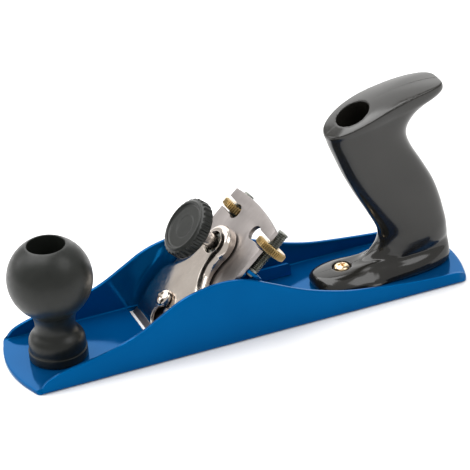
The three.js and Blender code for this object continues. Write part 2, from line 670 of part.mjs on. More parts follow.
// A steel bolt riveted flush in the sole, bent to the handle's lean just above it.
function handleBolt() {
  const alongAxis = (distance) => new THREE.Vector3(
    HANDLE_HOLE.x - distance * Math.sin(HANDLE_LEAN), 0, HANDLE_HOLE.z + distance * Math.cos(HANDLE_LEAN));
  const bend = new THREE.QuadraticBezierCurve3(
    new THREE.Vector3(HANDLE_BOLT_X, 0, 4), new THREE.Vector3(HANDLE_BOLT_X, 0, 6), alongAxis(-88));
  const path = new THREE.CurvePath();
  path.add(new THREE.LineCurve3(new THREE.Vector3(HANDLE_BOLT_X, 0, 1), bend.v0));
  path.add(bend);
  path.add(new THREE.LineCurve3(bend.v2, alongAxis(-HANDLE_HOLE.depth + 9)));
  const section = new THREE.Shape().absarc(0, 0, BOLT.shank, 0, 2 * Math.PI, false);
  const shank = new THREE.ExtrudeGeometry(section, { curveSegments: 8, steps: 24, extrudePath: path });
  const { head, shank: neck } = BOLT;
  const foot = turned([[0, 0.05], [head, 0.05], [neck, head - neck + 0.05], [neck, 3.5], [0, 3.5]], 32);
  return piece('handle_bolt', solidOf(shank).add(foot.translate([HANDLE_BOLT_X, 0, 0])), zinc);
}

function handleFootScrew() {
  const seat = FOOT_SCREW.seat + GAP;
  const head = [[1.9, seat], [3.9, seat], [3.8, seat + 1.2], [3, seat + 2.1], [1.6, seat + 2.6], [0, seat + 2.7]];
  const solid = turned([[0, 0.3], [1.9, 0.3], ...head], 32);
  return piece('handle_foot_screw', cut(solid, crossRecess(seat + 2.7, 2.1, 1.5)), brass, FOOT_SCREW.x, 0, 0);
}

// ---- assembly ----
const plane = new THREE.Group();
plane.add(planeBody(), frog());
for (let index = 0; index < FROG_RIVETS.length; index += 1) {
  plane.add(frogRivet(index));
}
plane.add(frontKnob(), knobBolt());
plane.add(washerAt('knob_washer', KNOB_SEAT, KNOB_X), nutAt('knob_nut', KNOB_SEAT, KNOB_X));
plane.add(rearHandle(), handleBolt(), handleFootScrew());

const handleAxis = new THREE.Group();
handleAxis.position.set(HANDLE_HOLE.x, 0, HANDLE_HOLE.z);
handleAxis.rotation.y = -HANDLE_LEAN;
const seatDrop = new THREE.Group();
seatDrop.position.z = -HANDLE_HOLE.depth;
seatDrop.add(washerAt('handle_washer', 0, 0), nutAt('handle_nut', 0, 0));
handleAxis.add(seatDrop);
plane.add(handleAxis);

const bed = new THREE.Group();
bed.position.set(EDGE_X, 0, 0);
bed.rotation.y = -BED_ANGLE;
bed.add(cutter());
bed.add(adjusterStud('adjuster_stud_left', -1), adjusterStud('adjuster_stud_right', 1));
bed.add(adjusterNut('adjuster_nut_left', -1), adjusterNut('adjuster_nut_right', 1));
bed.add(leverCap(), capNut(), capScrew(), capScrewNut(), thumbShank(), thumbKnob());
plane.add(bed);
plane.position.x = -(TOE_X + HEEL_X) / 2;

export default plane;
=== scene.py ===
import json
import math

import bmesh
import bpy
from mathutils import Matrix, Vector, kdtree


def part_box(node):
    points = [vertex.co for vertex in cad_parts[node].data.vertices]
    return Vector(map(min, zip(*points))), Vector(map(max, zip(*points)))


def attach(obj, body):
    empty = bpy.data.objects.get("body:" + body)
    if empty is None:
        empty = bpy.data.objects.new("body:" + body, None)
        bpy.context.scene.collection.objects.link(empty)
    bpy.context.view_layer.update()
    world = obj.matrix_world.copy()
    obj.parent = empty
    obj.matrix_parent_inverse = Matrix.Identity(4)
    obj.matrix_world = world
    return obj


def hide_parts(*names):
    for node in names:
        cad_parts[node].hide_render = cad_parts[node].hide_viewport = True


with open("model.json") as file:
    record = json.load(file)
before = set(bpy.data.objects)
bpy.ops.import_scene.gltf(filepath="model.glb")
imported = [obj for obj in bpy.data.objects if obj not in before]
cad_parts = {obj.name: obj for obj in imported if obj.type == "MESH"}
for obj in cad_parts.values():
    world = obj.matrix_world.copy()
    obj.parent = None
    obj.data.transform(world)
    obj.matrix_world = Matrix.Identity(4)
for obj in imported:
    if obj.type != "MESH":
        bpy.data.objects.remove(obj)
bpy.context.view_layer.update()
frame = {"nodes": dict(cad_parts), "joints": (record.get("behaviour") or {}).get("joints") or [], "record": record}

MM = 0.001
RECORD = frame["record"]
SLOT_OF = {row["node"]: row["material_slot"] for row in RECORD["subparts"]}
BODY_OF = {node: body for body, nodes in RECORD["behaviour"]["bodies"].items() for node in nodes}
JOINT_OF = {joint["name"]: joint for joint in frame["joints"]}
# The tables of x below have the heel's end at HEEL_X. SHIFT_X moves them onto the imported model.
HEEL_X = 117.5
SHIFT_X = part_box("plane_body")[1].x / MM - HEEL_X
# Faces that meet at less than this angle are shaded as one surface.
SHARP = math.radians(33)
WELD = 0.002 * MM
CLEARANCE = 0.3


# ---- mesh helpers ----
def smoothed(mesh):
    """Shades a bmesh smooth, apart from its sharp edges."""
    for face in mesh.faces:
        face.smooth = True
    for edge in mesh.edges:
        edge.smooth = len(edge.link_faces) == 2 and edge.calc_face_angle(0) < SHARP


def to_object(mesh, name):
    data = bpy.data.meshes.new(name)
    mesh.to_mesh(data)
    mesh.free()
    made = bpy.data.objects.new(name, data)
    bpy.context.scene.collection.objects.link(made)
    return made


def skin(name, rings, place=Matrix.Identity(4), wrap=False):
    """Skins rings of equally many points. The first and last ring are closed, or joined to each other."""
    mesh = bmesh.new()
    rows = [[mesh.verts.new(place @ (Vector(point) * MM)) for point in ring] for ring in rings]
    count = len(rings[0])
    pairs = list(zip(rows, rows[1:])) + ([(rows[-1], rows[0])] if wrap else [])
    for low, high in pairs:
        for step in range(count):
            after = (step + 1) % count
            mesh.faces.new((low[step], low[after], high[after], high[step]))
    if not wrap:
        for row, flip in ((rows[0], True), (rows[-1], False)):
            middle = mesh.verts.new(sum((vert.co for vert in row), Vector()) / count)
            for step in range(count):
                pair = (row[step], row[(step + 1) % count])
                mesh.faces.new((middle, *(reversed(pair) if flip else pair)))
    bmesh.ops.recalc_face_normals(mesh, faces=mesh.faces)
    smoothed(mesh)
    return to_object(mesh, name)


def turned(name, profile, place, segments=96, reach=None, wrap=False):
    """Turns (radius, height) points about local z. reach(radius, height, angle) may change a radius."""
    rings = []
    for radius, height in profile:
        ring = []
        for step in range(segments):
            angle = 2 * math.pi * step / segments
            length = reach(radius, height, angle) if reach else radius
            ring.append((length * math.cos(angle), length * math.sin(angle), height))
        rings.append(ring)
    return skin(name, rings, place, wrap)


def arc(centre, radius, start, end, steps):
    """Points of an arc in (radius, height), from one angle to another in degrees."""
    angles = [math.radians(start + (end - start) * step / steps) for step in range(steps + 1)]
    return [(centre[0] + radius * math.cos(a), centre[1] + radius * math.sin(a)) for a in angles]


def bezier(points, steps):
    """Points of a Bezier curve of any degree, from its first control point to its last."""
    made = []
    degree = len(points) - 1
    for step in range(steps + 1):
        t = step / steps
        weights = [math.comb(degree, k) * t ** k * (1 - t) ** (degree - k) for k in range(degree + 1)]
        made.append(tuple(sum(w * value for w, value in zip(weights, column)) for column in zip(*points)))
    return made


def spline(values, position):
    """A Catmull-Rom value between rows of numbers, at a position counted in rows."""
    last = len(values) - 1
    start = min(int(position), last - 1)
    t = position - start
    rows = [values[min(max(start + k, 0), last)] for k in (-1, 0, 1, 2)]
    weights = (
        -0.5 * t + t * t - 0.5 * t ** 3,
        1 - 2.5 * t * t + 1.5 * t ** 3,
        0.5 * t + 2 * t * t - 1.5 * t ** 3,
        -0.5 * t * t + 0.5 * t ** 3,
    )
    return [sum(w * row[axis] for w, row in zip(weights, rows)) for axis in range(len(values[0]))]


def standing(x, y=0.0, z=0.0):
    return Matrix.Translation(Vector((x, y, z)) * MM)


def along(origin, axis):
    """A frame whose z runs along axis and whose y is the row's y."""
    up = Vector(axis).normalized()
    across = Vector((0, 1, 0))
    side = across.cross(up)
    turn = Matrix((side, across, up)).transposed().to_4x4()
    return Matrix.Translation(Vector(origin)) @ turn


def middle_x(node):
    """The middle of a CAD node's box along x, in millimetres."""
    return sum(corner.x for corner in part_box(node)) / 2 / MM


def extent(node, place):
    """Lowest and highest local z of a CAD node in that frame, in millimetres."""
    inverse = place.inverted()
    heights = [(inverse @ vert.co).z / MM for vert in frame["nodes"][node].data.vertices]
    return min(heights), max(heights)


def welded(node):
    """A CAD node's mesh with its doubled vertices joined."""
    mesh = bmesh.new()
    mesh.from_mesh(frame["nodes"][node].data)
    bmesh.ops.remove_doubles(mesh, verts=mesh.verts, dist=WELD)
    return mesh


def copy_of(node, name):
    return to_object(welded(node), name)


def applied(piece):
    """Makes a piece's modifiers part of its mesh."""
    depsgraph = bpy.context.evaluated_depsgraph_get()
    data = bpy.data.meshes.new_from_object(piece.evaluated_get(depsgraph))
    piece.modifiers.clear()
    piece.data = data
    return piece


def carved(piece, *tools):
    """Cuts tools out of a piece and removes them."""
    for tool in tools:
        modifier = piece.modifiers.new("cut", "BOOLEAN")
        modifier.operation = "DIFFERENCE"
        modifier.solver = "EXACT"
        modifier.object = tool
        applied(piece)
        bpy.data.objects.remove(tool)
    return piece


def evened(piece, rounds):
    """Evens a piece out by rounds of smoothing."""
    smooth = piece.modifiers.new("smooth", "SMOOTH")
    smooth.factor = 0.5
    smooth.iterations = rounds
    return applied(piece)


def remeshed(piece, voxel, rounds):
    """Remeshes a piece in small even faces and rounds its edges a little."""
    modifier = piece.modifiers.new("remesh", "REMESH")
    modifier.mode = "VOXEL"
    modifier.voxel_size = voxel * MM
    return evened(piece, rounds)


def reshaded(piece):
    mesh = bmesh.new()
    mesh.from_mesh(piece.data)
    smoothed(mesh)
    mesh.to_mesh(piece.data)
    mesh.free()
    return piece


def softened(node, name, width):
    """A copy of a CAD node with its sharp edges rounded."""
    piece = copy_of(node, name)
    flat = piece.modifiers.new("flat", "DECIMATE")
    flat.decimate_type = "DISSOLVE"
    flat.angle_limit = math.radians(0.6)
    bevel = piece.modifiers.new("bevel", "BEVEL")
    bevel.width = width * MM
    bevel.segments = 3
    bevel.limit_method = "ANGLE"
    bevel.angle_limit = SHARP
    bevel.use_clamp_overlap = True
    return reshaded(applied(piece))


def settle(piece, material, *nodes):
    """Gives a piece its material and lets it stand for CAD nodes of one body."""
    piece.data.materials.clear()
    piece.data.materials.append(material)
    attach(piece, BODY_OF[nodes[0]])
    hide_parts(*nodes)
    return piece


# ---- materials ----
def shader(name, colour, roughness, metallic=0.0, specular=0.5):
    """A principled material, returned with its node tree and shader."""
    material = bpy.data.materials.new(name)
    material.use_nodes = True
    tree = material.node_tree
    surface = tree.nodes["Principled BSDF"]
    surface.inputs["Base Color"].default_value = (*colour, 1)
    surface.inputs["Roughness"].default_value = roughness
    surface.inputs["Metallic"].default_value = metallic
    surface.inputs["Specular IOR Level"].default_value = specular
    return material, tree, surface


def noise(tree, size, detail=3.0, stretch=(1, 1, 1), turn=0.0):
    """Noise in the piece's own space, with features of that size, turned about y and then stretched."""
    place = tree.nodes.new("ShaderNodeTexCoord")
    turned_space = tree.nodes.new("ShaderNodeMapping")
    turned_space.inputs["Rotation"].default_value = (0, turn, 0)
    stretched_space = tree.nodes.new("ShaderNodeMapping")
    stretched_space.inputs["Scale"].default_value = stretch
    texture = tree.nodes.new("ShaderNodeTexNoise")
    texture.inputs["Scale"].default_value = 1 / (size * MM)
    texture.inputs["Detail"].default_value = detail
    tree.links.new(place.outputs["Object"], turned_space.inputs["Vector"])
    tree.links.new(turned_space.outputs["Vector"], stretched_space.inputs["Vector"])
    tree.links.new(stretched_space.outputs["Vector"], texture.inputs["Vector"])
    return texture.outputs["Fac"]


NOISE_LOW = 0.3
NOISE_HIGH = 0.7


def tint(tree, surface, factor, low, high):
    """Base colour between two colours, by noise."""
    ramp = tree.nodes.new("ShaderNodeValToRGB")
    ramp.color_ramp.elements[0].position = NOISE_LOW
    ramp.color_ramp.elements[1].position = NOISE_HIGH
    ramp.color_ramp.elements[0].color = (*low, 1)
    ramp.color_ramp.elements[1].color = (*high, 1)
    tree.links.new(factor, ramp.inputs["Fac"])
    tree.links.new(ramp.outputs["Color"], surface.inputs["Base Color"])


def vary_roughness(tree, surface, factor, low, high):
    """Roughness between two values, by noise."""
    spread = tree.nodes.new("ShaderNodeMapRange")
    spread.inputs["From Min"].default_value = NOISE_LOW
    spread.inputs["From Max"].default_value = NOISE_HIGH
    spread.inputs["To Min"].default_value = low
    spread.inputs["To Max"].default_value = high
    tree.links.new(factor, spread.inputs["Value"])
    tree.links.new(spread.outputs["Result"], surface.inputs["Roughness"])


def bump(tree, surface, height, depth):
    """Relief of that depth."""
    relief = tree.nodes.new("ShaderNodeBump")
    relief.inputs["Distance"].default_value = depth * MM
    relief.inputs["Strength"].default_value = 1
    tree.links.new(height, relief.inputs["Height"])
    tree.links.new(relief.outputs["Normal"], surface.inputs["Normal"])


def painted_crevice_shade(tree, surface, shade, reach):
    """Paints shade into the base colour where the surface folds in on itself within that reach: painted shade in
    grooves, knurls and threads, not a stain.
    """
    hollow = tree.nodes.new("ShaderNodeAmbientOcclusion")
    hollow.samples = 8
    hollow.inputs["Distance"].default_value = reach * MM
    steps = tree.nodes.new("ShaderNodeMapRange")
    steps.inputs["From Min"].default_value = 0.35
    steps.inputs["From Max"].default_value = 0.8
    mixed = tree.nodes.new("ShaderNodeMix")
    mixed.data_type = "RGBA"
    mixed.inputs["A"].default_value = (*shade, 1)
    unshaded = surface.inputs["Base Color"].links[0].from_socket
    tree.links.new(hollow.outputs["AO"], steps.inputs["Value"])
    tree.links.new(steps.outputs["Result"], mixed.inputs["Factor"])
    tree.links.new(unshaded, mixed.inputs["B"])
    tree.links.new(mixed.outputs["Result"], surface.inputs["Base Color"])


UP_BED = Vector(JOINT_OF["cutter_travel"]["axis"]).normalized()
BED_TURN = math.atan2(UP_BED.z, UP_BED.x)


def blue_enamel():
    material, tree, surface = shader("blue_enamel", (0.0, 0.074, 0.24), 0.12, metallic=0.38, specular=0.25)
    surface.inputs["Specular Tint"].default_value = (0.0, 0.7, 1.0, 1)
    tint(tree, surface, noise(tree, 26, 2), (0.0, 0.07, 0.231), (0.0, 0.078, 0.251))
    vary_roughness(tree, surface, noise(tree, 7, 4), 0.08, 0.13)
    bump(tree, surface, noise(tree, 1.3, 2), 0.006)
    return material


def satin_black():
    material, tree, surface = shader("satin_black", (0.009, 0.0105, 0.009), 0.36, specular=0.33)
    tint(tree, surface, noise(tree, 9, 5), (0.007, 0.0085, 0.0072), (0.011, 0.0125, 0.0105))
    vary_roughness(tree, surface, noise(tree, 2.5, 4), 0.31, 0.41)
    bump(tree, surface, noise(tree, 0.45, 3), 0.008)
    return material


def gloss_black():
    material, tree, surface = shader("gloss_black", (0.012, 0.0115, 0.0095), 0.14)
    tint(tree, surface, noise(tree, 20, 3), (0.010, 0.0096, 0.008), (0.016, 0.0152, 0.013))
    vary_roughness(tree, surface, noise(tree, 6, 4), 0.1, 0.18)
    bump(tree, surface, noise(tree, 6, 1), 0.02)
    return material


def chrome():
    material, tree, surface = shader("bright_plate", (0.6, 0.54, 0.48), 0.12, metallic=1)
    tint(tree, surface, noise(tree, 12, 4), (0.56, 0.5, 0.445), (0.66, 0.6, 0.54))
    vary_roughness(tree, surface, noise(tree, 1.6, 5), 0.12, 0.21)
    bump(tree, surface, noise(tree, 3, 3), 0.006)
    return material


def turned_plate():
    material, tree, surface = shader("turned_plate", (0.66, 0.63, 0.6), 0.16, metallic=1)
    tint(tree, surface, noise(tree, 9, 3), (0.63, 0.6, 0.57), (0.7, 0.67, 0.64))
    vary_roughness(tree, surface, noise(tree, 3, 3), 0.15, 0.22)
    return material


def ground_steel():
    material, tree, surface = shader("ground_steel", (0.3, 0.275, 0.265), 0.42, metallic=1)
    grain = noise(tree, 0.3, 5, stretch=(0.1, 1, 1), turn=BED_TURN)
    tint(tree, surface, grain, (0.28, 0.256, 0.247), (0.335, 0.308, 0.297))
    vary_roughness(tree, surface, grain, 0.36, 0.48)
    bump(tree, surface, grain, 0.008)
    return material


def brass():
    material, tree, surface = shader("turned_brass", (0.43, 0.31, 0.14), 0.24, metallic=1)
    tint(tree, surface, noise(tree, 3, 5), (0.37, 0.26, 0.11), (0.49, 0.36, 0.17))
    vary_roughness(tree, surface, noise(tree, 0.8, 4), 0.17, 0.3)
    bump(tree, surface, noise(tree, 0.35, 3), 0.004)
    # Painted shade: the knurl's grooves are darkened in the base colour.
    painted_crevice_shade(tree, surface, (0.09, 0.055, 0.015), 0.9)
    return material


def brassed_steel():
    material, tree, surface = shader("brassed_steel", (0.8, 0.6, 0.36), 0.2, metallic=1)
    tint(tree, surface, noise(tree, 1.5, 4), (0.66, 0.46, 0.24), (0.9, 0.74, 0.52))
    vary_roughness(tree, surface, noise(tree, 0.6, 4), 0.12, 0.3)
    return material


def dark_zinc():
    # Darker than the plating alone: part of this darkness is painted shade, for the adjuster studs, which sit in
    # shadow.
    material, tree, surface = shader("dark_zinc", (0.2, 0.205, 0.185), 0.32, metallic=1)
    tint(tree, surface, noise(tree, 2, 5), (0.15, 0.155, 0.14), (0.25, 0.26, 0.235))
    vary_roughness(tree, surface, noise(tree, 0.7, 4), 0.22, 0.38)
    # Painted shade: the threads' grooves are darkened in the base colour.
    painted_crevice_shade(tree, surface, (0.02, 0.021, 0.018), 0.7)
    return material


def zinc():
    material, tree, surface = shader("zinc_plate", (0.5, 0.51, 0.52), 0.28, metallic=1)
    tint(tree, surface, noise(tree, 2.5, 5), (0.4, 0.41, 0.42), (0.58, 0.59, 0.6))
    vary_roughness(tree, surface, noise(tree, 0.9, 4), 0.2, 0.38)
    return material


def pale_floor():
    material, tree, surface = shader("pale_floor", (0.93, 0.93, 0.93), 0.65)
    vary_roughness(tree, surface, noise(tree, 60, 2), 0.6, 0.7)
    return material


MATERIALS = {
    "blue_paint": blue_enamel(),
    "satin_black": satin_black(),
    "gloss_black": gloss_black(),
    "chrome": chrome(),
    "ground_steel": ground_steel(),
    "brass": brass(),
    "brassed_steel": brassed_steel(),
    "dark_zinc": dark_zinc(),
    "zinc": zinc(),
}


def finish_of(node):
    return MATERIALS[SLOT_OF[node]]


# ---- camera, floor and light ----
CAMERA_AZIMUTH = math.radians(-19.0)
CAMERA_ELEVATION = math.radians(28.92)
CAMERA_ROLL = math.radians(-5.0)
CAMERA_TARGET = Vector((3.57 + SHIFT_X, 0, 42.43)) * MM
CAMERA_DISTANCE = 1440.3 * MM
CAMERA_LENS = 228.2


def camera():
    ahead = Vector((math.sin(CAMERA_AZIMUTH), -math.cos(CAMERA_AZIMUTH), 0))
    back = ahead * math.cos(CAMERA_ELEVATION) + Vector((0, 0, math.sin(CAMERA_ELEVATION)))
    right = Vector((math.cos(CAMERA_AZIMUTH), math.sin(CAMERA_AZIMUTH), 0))
    upright = Matrix((right, back.cross(right), back)).transposed().to_4x4()
    data = bpy.data.cameras.new("camera")
    data.lens = CAMERA_LENS
    data.sensor_width = 36
    data.clip_start = 0.05
    made = bpy.data.objects.new("camera", data)
    place = Matrix.Translation(CAMERA_TARGET + back * CAMERA_DISTANCE)
    made.matrix_world = place @ upright @ Matrix.Rotation(CAMERA_ROLL, 4, "Z")
    bpy.context.scene.collection.objects.link(made)
    bpy.context.scene.camera = made


def floor():
    mesh = bmesh.new()
    bmesh.ops.create_grid(mesh, x_segments=8, y_segments=8, size=6)
    made = to_object(mesh, "floor")
    made.data.materials.append(pale_floor())


LIGHT_TARGET = Vector((0, 0, 30)) * MM


def soft_light(name, place, size, power):
    """A square area light that looks at the middle of the plane."""
    data = bpy.data.lights.new(name, "AREA")
    data.shape = "SQUARE"
    data.size = size
    data.energy = power
    made = bpy.data.objects.new(name, data)
    made.location = place
    aim = LIGHT_TARGET - Vector(place)
    made.rotation_euler = aim.to_track_quat("-Z", "Y").to_euler()
    bpy.context.scene.collection.objects.link(made)


def studio():
    world = bpy.data.worlds.new("studio")
    world.use_nodes = True
    sky = world.node_tree.nodes["Background"]
    sky.inputs["Color"].default_value = (1, 0.985, 0.97, 1)
    sky.inputs["Strength"].default_value = 0.72
    bpy.context.scene.world = world
    soft_light("overhead", (-0.3, 0.3, 1.1), 1.1, 14)
    soft_light("back_left", (-1.1, 0.9, 0.7), 0.7, 3)
    soft_light("backdrop", (0.5, 1.4, 0.85), 1.8, 14)
    soft_light("key", (0.6, -0.5, 0.95), 0.6, 3)
    bpy.context.scene.view_settings.view_transform = "Standard"


camera()
floor()
studio()


# ---- body: a folded channel, skinned along its length ----
BODY_LOW, BODY_HIGH = (Vector(corner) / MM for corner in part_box("plane_body"))
HALF_WIDTH = BODY_HIGH.y
WALL = 2.0
FLOOR = 2.3
OUTER_BEND = 1.6
INNER_BEND = 0.8
RIM = 0.5
TOE_SAGITTA = 5.0
HEEL_SAGITTA = 4.0
TOE_CORNER = 7.0
HEEL_CORNER = 9.0
FULL_LIP = 1.6
LEAST_LIP = 0.25
RIM_ANGLES = (22, 45, 68, 89, 91, 112, 135, 158)
CREST_TIPS = ((-109.2, 2.3), (111.6, 4.8), (114.2, 2.4))
BODY_STATIONS = 130
MOUTH_FRONT = -46.7
MOUTH_REAR = -37.6
MOUTH_HALF = 25.7
MOUTH_CORNER = 0.8
MOUTH_LEVELS = ((-1, 1.3), (0.3, 0), (2.0, 0), (2.32, 0.32))
FOOT_SCREW_BORE = 2.2


def crest_line():
    """The walls' top edge as (x, z) rows, read off the CAD body and led down to the floor at both ends."""
    rows = {}
    for vert in frame["nodes"]["plane_body"].data.vertices:
        x, y, z = vert.co / MM
        if abs(abs(y) - HALF_WIDTH) < 0.01 and z > OUTER_BEND + 0.5:
            rows[round(x, 2)] = max(z, rows.get(round(x, 2), 0))
    tips = [(x + SHIFT_X, z) for x, z in CREST_TIPS]
    return sorted([*rows.items(), *tips])


CREST = crest_line()


def crest_at(x):
    """The crest's height at x, along a Catmull-Rom curve through its rows."""
    if x <= CREST[0][0] or x >= CREST[-1][0]:
        return CREST[0][1] if x <= CREST[0][0] else CREST[-1][1]
    start = max(index for index, row in enumerate(CREST) if row[0] <= x)
    (x0, _), (x1, _) = CREST[start], CREST[start + 1]
    return spline(CREST, start + (x - x0) / (x1 - x0))[1]


def end_at(y, end, side):
    """Where the sole ends at y, for the toe (side -1) or the heel (side 1): a bow with rounded corners."""
    sagitta, radius = (HEEL_SAGITTA, HEEL_CORNER) if side > 0 else (TOE_SAGITTA, TOE_CORNER)
    inset = HALF_WIDTH - 0.75 * radius
    square = end - side * sagitta
    corner = square + side * 0.7
    shoulder = square - side * 0.55 * radius
    if abs(y) < inset:
        return corner + (end - corner) * (1 - (y / inset) ** 2)
    t = math.sqrt(max(0, HALF_WIDTH - abs(y)) / (HALF_WIDTH - inset))
    return shoulder * (1 - t) ** 2 + square * 2 * t * (1 - t) + corner * t * t


def body_section():
    """Rows of (kind, value, side) across the channel, from its far crest to its near one.

    The value is a share of a wall's height, an angle in a bend, or a share of the floor's half width.
    """
    side_rows = []
    for step in range(9):
        side_rows.append(("wall", 1 - step / 9))
    for step in range(7):
        side_rows.append(("bend", math.radians(90 * step / 6)))
    rows = [(kind, value, 1) for kind, value in side_rows]
    rows += [("floor", 1 - 2 * step / 14, 1) for step in range(1, 14)]
    return rows + [(kind, value, -1) for kind, value in reversed(side_rows)]


def rim_top(x):
    """The rim's height at x, never quite down to the floor."""
    return max(crest_at(x), FLOOR + LEAST_LIP)


def lip_share(x):
    """The share of their height that the inner bend and rim have at x: less than 1 where the wall ends."""
    return min(1, (rim_top(x) - FLOOR) / FULL_LIP)


def body_ring(share, push, inset):
    """A closed ring at a share of the length, pushed in from the end and thinned by an inset."""
    outer, inner = [], []

    def placed(y, height):
        x = (1 - share) * end_at(y, BODY_LOW.x, -1) + share * end_at(y, BODY_HIGH.x, 1) + push
        return Vector((x, y, height(x)))

    def outer_wall(value):
        return lambda x: OUTER_BEND + (crest_at(x) - RIM - OUTER_BEND) * value

    def inner_wall(value):
        def height(x):
            held = lip_share(x)
            foot = FLOOR + INNER_BEND * held
            return foot + (rim_top(x) - RIM * held - foot) * value
        return height

    def rim_height(angle, sine):
        def height(x):
            held = 1 if angle < 90 else lip_share(x)
            return rim_top(x) - RIM * held * (1 - sine)
        return height

    def bend_height(base, radius, sine, share=lambda x: 1):
        return lambda x: base + radius * (1 - sine) * share(x)

    for kind, value, side in body_section():
        if kind == "wall":
            outer.append(placed(side * HALF_WIDTH, outer_wall(value)))
            inner.append(placed(side * (HALF_WIDTH - WALL), inner_wall(value)))
        elif kind == "bend":
            cos, sin = math.cos(value), math.sin(value)
            reach = HALF_WIDTH - OUTER_BEND + OUTER_BEND * cos
            outer.append(placed(side * reach, bend_height(0, OUTER_BEND, sin)))
            reach = HALF_WIDTH - WALL - INNER_BEND + INNER_BEND * cos
            inner.append(placed(side * reach, bend_height(FLOOR, INNER_BEND, sin, lip_share)))
        else:
            outer.append(placed(value * (HALF_WIDTH - OUTER_BEND), lambda x: 0))
            inner.append(placed(value * (HALF_WIDTH - WALL - INNER_BEND), lambda x: FLOOR))

    def rim(side, angles):
        made = []
        for angle in angles:
            centre = HALF_WIDTH - RIM if angle < 90 else HALF_WIDTH - WALL + RIM
            turn = math.radians(angle)
            made.append(placed(side * (centre + RIM * math.cos(turn)), rim_height(angle, math.sin(turn))))
        return made

    near = rim(-1, RIM_ANGLES)
    far = rim(1, reversed(RIM_ANGLES))
    if inset:
        thin(outer, inner, near, far, inset)
    return outer, near, inner, far


def thin(outer, inner, near, far, inset):
    """Draws an end ring's faces in towards the middle of the sheet, to round the sheet's cut edge."""
    for above, below in zip(outer, inner):
        middle = (above + below) / 2
        half = (above - below).length / 2
        above += (middle - above) * inset / half
        below += (middle - below) * inset / half
    for crest, corners in ((near, (outer[-1], inner[-1])), (far, (outer[0], inner[0]))):
        middle = (corners[0] + corners[1]) / 2
        for point in crest:
            point += (middle - point) * inset


def body_shell():
    mesh = bmesh.new()
    shares = [step / BODY_STATIONS for step in range(1, BODY_STATIONS)]
    turns = (0, math.pi / 6, math.pi / 3)
    rounds = [(RIM * (1 - math.cos(turn)), RIM * (1 - math.sin(turn))) for turn in turns]
    stations = [(0, push, inset) for push, inset in rounds] + [(0, RIM, 0)]
    stations += [(share, 0, 0) for share in shares]
    stations += [(1, -RIM, 0)] + [(1, -push, inset) for push, inset in reversed(rounds)]
    rows = []
    for share, push, inset in stations:
        outer, near, inner, far = body_ring(share, push, inset)
        rows.append([mesh.verts.new(point * MM) for point in outer + near + inner[::-1] + far])
    count = len(rows[0])
    width = len(body_section())
    crest = len(RIM_ANGLES)
    for low, high in zip(rows, rows[1:]):
        for step in range(count):
            after = (step + 1) % count
            mesh.faces.new((low[step], low[after], high[after], high[step]))
    for row in (rows[0], rows[-1]):
        inner_row = row[width + crest:2 * width + crest][::-1]
        for step in range(width - 1):
            mesh.faces.new((row[step], row[step + 1], inner_row[step + 1], inner_row[step]))
        mesh.faces.new(row[width - 1:width + crest + 1])
        mesh.faces.new(row[2 * width + crest - 1:] + [row[0]])
    bmesh.ops.recalc_face_normals(mesh, faces=mesh.faces)
    return to_object(mesh, "body_shell")


def rounded_box_tool(low, high, corner, levels):
    """A cutting block with rounded upright edges, grown sideways by its (height, growth) levels."""
    rings = []
    for height, growth in levels:
        ring = []
        for quarter, (sx, sy) in enumerate(((1, 1), (-1, 1), (-1, -1), (1, -1))):
            x = (high[0] if sx > 0 else low[0]) - sx * corner
            y = (high[1] if sy > 0 else low[1]) - sy * corner
            for step in range(7):
                angle = math.radians(90 * quarter + 15 * step)
                reach = corner + growth
                ring.append((x + reach * math.cos(angle), y + reach * math.sin(angle), height))
        rings.append(ring)
    return skin("tool", rings)


def flush_hole(node):
    """A countersunk tool round a flush head in the sole. The bent bolt's head is at its heel end."""
    low, high = (Vector(corner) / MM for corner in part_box(node))
    x = high.x - (high.y - low.y) / 2 if node == "handle_bolt" else (low.x + high.x) / 2
    head = (high.y - low.y) / 2 + CLEARANCE
    shank = head * 0.5
    profile = [(head + 1, -1), (head, 0), (shank, head - shank), (shank, 4)]
    return turned("tool", profile, standing(x, (low.y + high.y) / 2), 48)


def plane_body():
    low = (MOUTH_FRONT + SHIFT_X, -MOUTH_HALF)
    high = (MOUTH_REAR + SHIFT_X, MOUTH_HALF)
    shell = body_shell()
    tools = [rounded_box_tool(low, high, MOUTH_CORNER, MOUTH_LEVELS)]
    for node in ("knob_bolt", "handle_bolt", *(f"frog_rivet_{index}" for index in range(1, 5))):
        tools.append(flush_hole(node))
    screw = standing(middle_x("handle_foot_screw"))
    tools.append(turned("tool", [(FOOT_SCREW_BORE, -1), (FOOT_SCREW_BORE, 4)], screw, 32))
    settle(reshaded(carved(shell, *tools)), finish_of("plane_body"), "plane_body")


# ---- front knob ----
KNOB_FOOT = 14.3
KNOB_WAIST = 9.8
KNOB_NECK = 12.8
KNOB_BALL = 20.7
KNOB_CENTRE = 45.0
KNOB_RECESS = 9.2
KNOB_SEAT = 30.0
KNOB_BORE = 3.2


